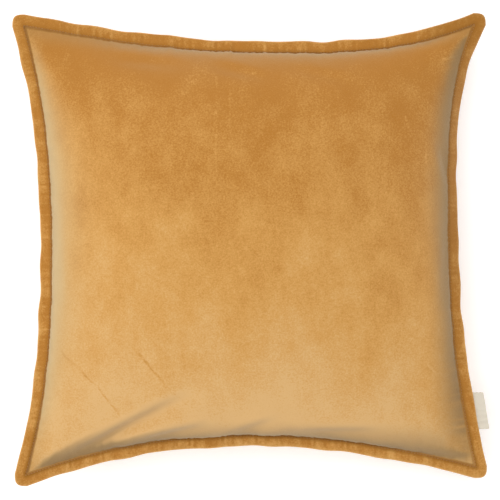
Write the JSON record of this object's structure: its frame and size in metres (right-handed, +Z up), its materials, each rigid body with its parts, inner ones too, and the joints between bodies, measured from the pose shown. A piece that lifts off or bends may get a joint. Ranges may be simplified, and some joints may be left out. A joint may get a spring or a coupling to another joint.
{
  "type": "throw pillow",
  "caption": "Square flanged velvet cushion: two-panel cover with a zip in the back and a small side label, over a stuffed insert.",
  "frame": {"origin": "middle of the flat patch on which the pillow lies on its back, on the floor", "axes": "+Z up through the front panel, +Y towards the top edge, +X towards the edge with the label"},
  "size_m": [0.499, 0.499, 0.157],
  "materials": {
    "velvet": "short-pile velvet",
    "sewing_thread": "spun polyester thread",
    "label_ribbon": "woven satin ribbon",
    "zip_tape": "herringbone tape",
    "zip_coil": "nylon coil",
    "zip_metal": "antique brass",
    "casing": "plain woven cambric",
    "fibre": "polyester fibre filling"
  },
  "bodies": {
    "pillow": {"cover_front": "velvet", "cover_back": "velvet", "cover_back_strip": "velvet", "seam_allowance": "velvet", "flange_stitch_top": "sewing_thread", "flange_stitch_under": "sewing_thread", "edge_stitch": "sewing_thread", "side_label": "label_ribbon", "zip_tape_upper": "zip_tape", "zip_tape_lower": "zip_tape", "zip_coil_upper": "zip_coil", "zip_coil_lower": "zip_coil", "zip_top_stop_upper": "zip_metal", "zip_top_stop_lower": "zip_metal", "zip_bottom_stop": "zip_metal", "zip_stitch_upper": "sewing_thread", "zip_stitch_lower": "sewing_thread", "insert_front": "casing", "insert_back": "casing", "insert_stitch": "casing", "filling": "fibre"},
    "slider": {"zip_slider": "zip_metal"},
    "pull": {"zip_pull": "zip_metal"}
  },
  "joints": [
    {"name": "slider_run", "type": "hinge", "parent": "pillow", "child": "slider", "pos_m": [0, -0.99115, 0.45454], "axis": [0, 0.4557, 0.8901], "range_deg": [0, 19.1]},
    {"name": "pull_swing", "type": "hinge", "parent": "slider", "child": "pull", "pos_m": [0.14831, -0.20829, 0.0504], "axis": [0.1541, 0.6456, -0.748], "range_deg": [-170, 0]}
  ]
}
